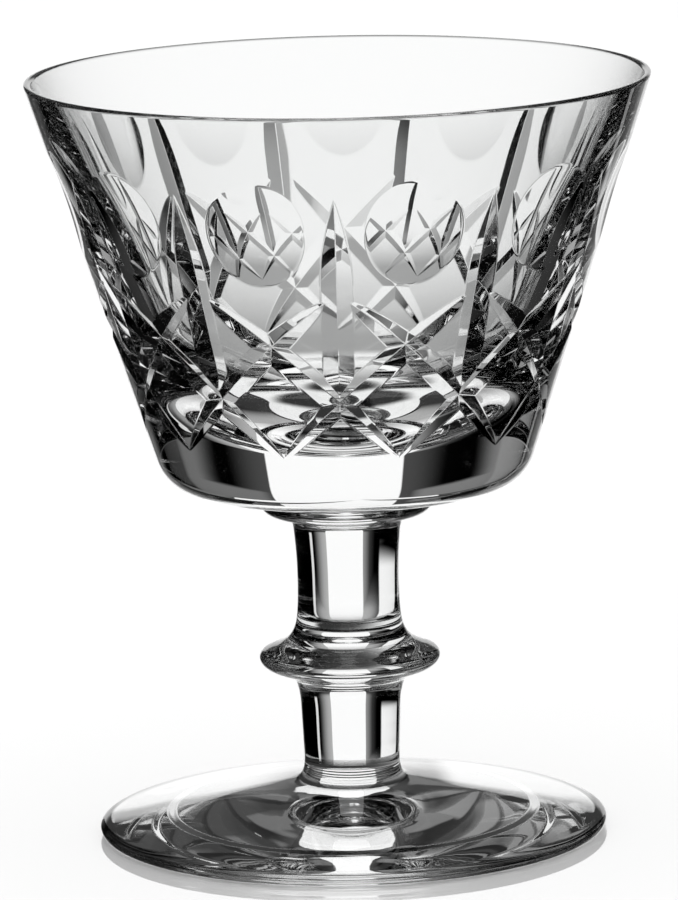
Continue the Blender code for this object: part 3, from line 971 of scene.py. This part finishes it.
def studio_world():
    world = bpy.data.worlds.new("studio")
    world.use_nodes = True
    tree = world.node_tree
    unit = vector_node(tree, "NORMALIZE", tree.nodes.new("ShaderNodeTexCoord").outputs["Generated"])
    parts = tree.nodes.new("ShaderNodeSeparateXYZ")
    tree.links.new(unit, parts.inputs[0])
    slope = parts.outputs["Z"]
    level_way = vector_node(tree, "NORMALIZE", vector_node(tree, "MULTIPLY", unit, (1.0, 1.0, 0.0)))

    ray = tree.nodes.new("ShaderNodeLightPath").outputs
    unmirrored = math_node(tree, "LESS_THAN", ray["Glossy Depth"], 0.5)
    side_light = math_node(tree, "MULTIPLY", card_light(tree, level_way, slope, SIDE_CARDS), unmirrored)
    light = math_node(tree, "MAXIMUM", card_light(tree, level_way, slope, CARDS), side_light)

    off_glass = math_node(tree, "MULTIPLY", ray["Is Glossy Ray"], ray["Is Reflection Ray"])
    rough = math_node(tree, "SUBTRACT", 1.0, ray["Is Singular Ray"])
    off_glass = math_node(tree, "MULTIPLY", off_glass, rough)
    high_up = between(tree, slope, sine(GLARE_LOW), sine(GLARE_HIGH))
    glare = math_node(tree, "MULTIPLY", off_glass, high_up)
    kept = math_node(tree, "SUBTRACT", 1.0, math_node(tree, "MULTIPLY", glare, 1.0 - GLARE))

    through = math_node(tree, "MAXIMUM", ray["Is Transmission Ray"], off_glass)
    seen = tree.nodes.new("ShaderNodeMix")
    seen.inputs["A"].default_value = 1.0
    tree.links.new(through, seen.inputs["Factor"])
    tree.links.new(math_node(tree, "MULTIPLY", light, kept), seen.inputs["B"])
    tree.links.new(seen.outputs[0], tree.nodes["Background"].inputs["Color"])
    return world


bpy.context.scene.world = studio_world()
print("world nodes:", len(bpy.context.scene.world.node_tree.nodes))

# %% [markdown]
# ## Table
# The glass stands on a white table with a clear coat, which mirrors the foot's edge in a soft grey. Rays
# that have gone through the glass pass the table by and meet the cards. A faint glow of its own, which
# no ray from the glass meets, brings it up to the white behind it.

# %% Table
TABLE_HALF = 3.0
TABLE_DROP = 0.00002
TABLE_WHITE = 0.99
TABLE_GLOW = 0.06


def plain_material(name, white, roughness, glow):
    """A material of one grey, with the same glow all over."""
    material = bpy.data.materials.new(name)
    material.use_nodes = True
    shader = material.node_tree.nodes["Principled BSDF"]
    shader.inputs["Base Color"].default_value = (white, white, white, 1.0)
    shader.inputs["Roughness"].default_value = roughness
    shader.inputs["Emission Color"].default_value = (1.0, 1.0, 1.0, 1.0)
    shader.inputs["Emission Strength"].default_value = glow
    return material, shader


def stage_piece(name, points, material):
    """A flat piece of the studio with one face."""
    mesh = bpy.data.meshes.new(name)
    mesh.from_pydata(points, [], [tuple(range(len(points)))])
    mesh.materials.append(material)
    piece = bpy.data.objects.new(name, mesh)
    bpy.context.scene.collection.objects.link(piece)
    return piece


coated, coated_shader = plain_material("pale_table", TABLE_WHITE, 0.0, TABLE_GLOW)
coated_shader.inputs["Coat Weight"].default_value = 1.0
coated_shader.inputs["Coat Roughness"].default_value = 0.0
corners = [(x * TABLE_HALF, y * TABLE_HALF, -TABLE_DROP) for x, y in ((-1, -1), (1, -1), (1, 1), (-1, 1))]
table = stage_piece("table", corners, coated)
table.visible_transmission = False
table.visible_glossy = False
print("table:", 2 * TABLE_HALF, "m across")

# %% [markdown]
# ## Paper under the foot
# Through the foot one looks at the spot that it stands on. A disc of paper lies there. Its light is
# painted: a glow of its own, bright at the left and right of its far half, with painted shade in front
# and where the stem's shadow falls. The light and shade are painted by place because light that comes
# through the glass takes very long to gather.

# %% Paper
PAPER_RADIUS = FOOT_RADIUS - 0.0023
PAPER_CORNERS = 64
# Painted light: where the paper's glow is bright. Elsewhere it falls to the painted shade level below.
PAPER_PAINTED_LIGHT = (
    ("MULTIPLY", "X", 0.010, 0.014),
    ("MAXIMUM", "X", 0.000, -0.016),
    ("MULTIPLY", "Y", -0.006, 0.002),
)
PAPER_PAINTED_SHADE = 0.04

# The paper has no colour of its own: all of it is a glow, painted light and painted shade by place.
white, paper_glow_shader = plain_material("painted_light_paper", 0.0, 1.0, 1.0)
paper_glow_shader.inputs["Specular IOR Level"].default_value = 0.0
tree = white.node_tree
place = tree.nodes.new("ShaderNodeSeparateXYZ")
tree.links.new(tree.nodes.new("ShaderNodeTexCoord").outputs["Object"], place.inputs[0])
painted_light = 1.0
for operation, axis, dark, bright in PAPER_PAINTED_LIGHT:
    painted_light = math_node(tree, operation, between(tree, place.outputs[axis], dark, bright, PAPER_PAINTED_SHADE), painted_light)
tree.links.new(painted_light, paper_glow_shader.inputs["Emission Color"])
ring = around(np.arange(PAPER_CORNERS) * 2.0 * math.pi / PAPER_CORNERS, PAPER_RADIUS, -TABLE_DROP / 2.0)
stage_piece("paper", ring.tolist(), white)
print("paper:", round(2000 * PAPER_RADIUS, 1), "mm across")

# %% [markdown]
# ## Camera
# The photograph was taken with a long lens from a little above the rim, and leans slightly.

# %% Camera
LENS = 282.7
DISTANCE = 0.980
CAMERA_HEIGHT = 0.2386
PITCH_DOWN = 0.1855
ROLL = -0.0225
SIDE_TURN = math.radians(1.2)
SIDE_STEP = -0.0009

camera_data = bpy.data.cameras.new("camera")
camera_data.lens = LENS
camera = bpy.data.objects.new("camera", camera_data)
bpy.context.scene.collection.objects.link(camera)
turned = Matrix.Rotation(SIDE_TURN, 4, "Z")
aimed = Matrix.Rotation(math.pi / 2.0 - PITCH_DOWN, 4, "X") @ Matrix.Rotation(ROLL, 4, "Z")
camera.matrix_world = turned @ Matrix.Translation((SIDE_STEP, -DISTANCE, CAMERA_HEIGHT)) @ aimed
bpy.context.scene.camera = camera
print("camera at", [round(value, 3) for value in camera.matrix_world.translation])

# %% [markdown]
# ## Render settings
# Light crosses many walls on its way through cut glass, so the bounce limits are raised.

# %% Bounces and size
scene = bpy.context.scene
scene.view_settings.view_transform = "Standard"
scene.cycles.max_bounces = 32
scene.cycles.transmission_bounces = 28
scene.cycles.glossy_bounces = 16
scene.cycles.transparent_max_bounces = 32
